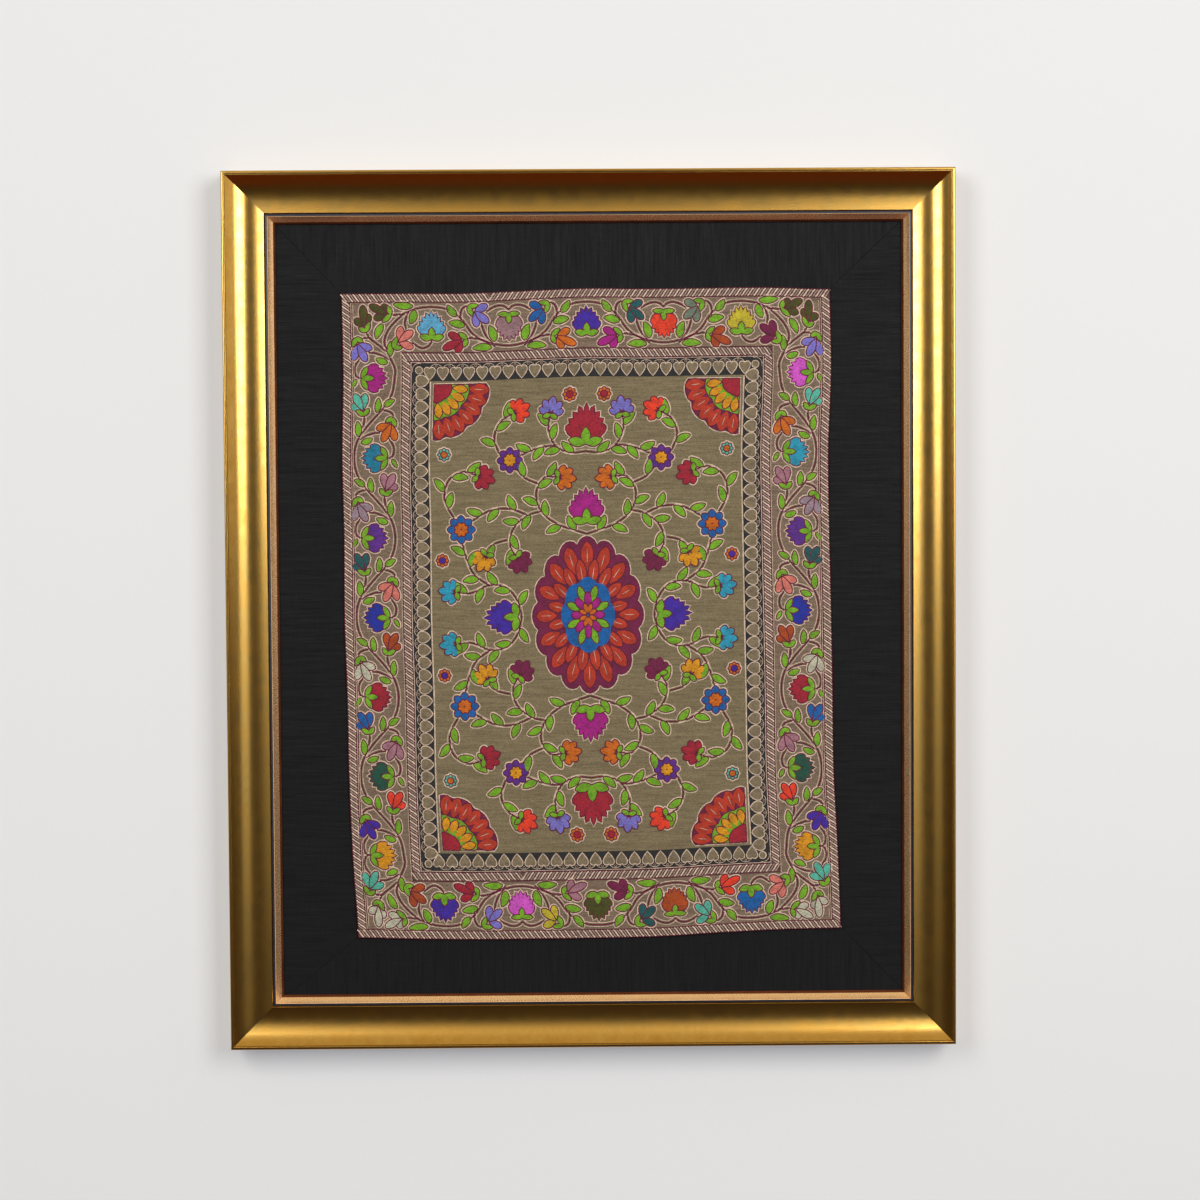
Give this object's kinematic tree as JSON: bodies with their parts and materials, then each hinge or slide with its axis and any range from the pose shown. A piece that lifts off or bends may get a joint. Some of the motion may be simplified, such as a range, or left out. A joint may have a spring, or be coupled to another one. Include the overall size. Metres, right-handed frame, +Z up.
{
  "type": "framed silk tapestry",
  "caption": "Rectangular brocade silk tapestry on a black silk surround, set in a gilt scoop picture frame with a slim inner slip, to hang on a wall.",
  "frame": {"origin": "centre of the flat back face of the top rail, where the frame hangs on the wall", "axes": "+X to the right seen from the front, +Y into the wall, +Z up; the face of the tapestry looks along -Y"},
  "size_m": [0.508, 0.028, 0.612],
  "materials": {
    "gilt_moulding": "satin gilt over wood, faintly mottled",
    "slip_finish": "pinkish gilt bevel with a navy outer band and a red-brown inner edge",
    "black_silk": "black slub silk, matt with a low sheen",
    "brocade_silk": "taupe-gold silk ground with many-coloured brocaded flowers",
    "backing_board": "plain brown board"
  },
  "bodies": {
    "root": {"rail_top": "gilt_moulding", "rail_bottom": "gilt_moulding", "rail_left": "gilt_moulding", "rail_right": "gilt_moulding", "slip_top": "slip_finish", "slip_bottom": "slip_finish", "slip_left": "slip_finish", "slip_right": "slip_finish", "border_top": "black_silk", "border_bottom": "black_silk", "border_left": "black_silk", "border_right": "black_silk", "tapestry": "brocade_silk", "backing_board": "backing_board"}
  },
  "joints": []
}
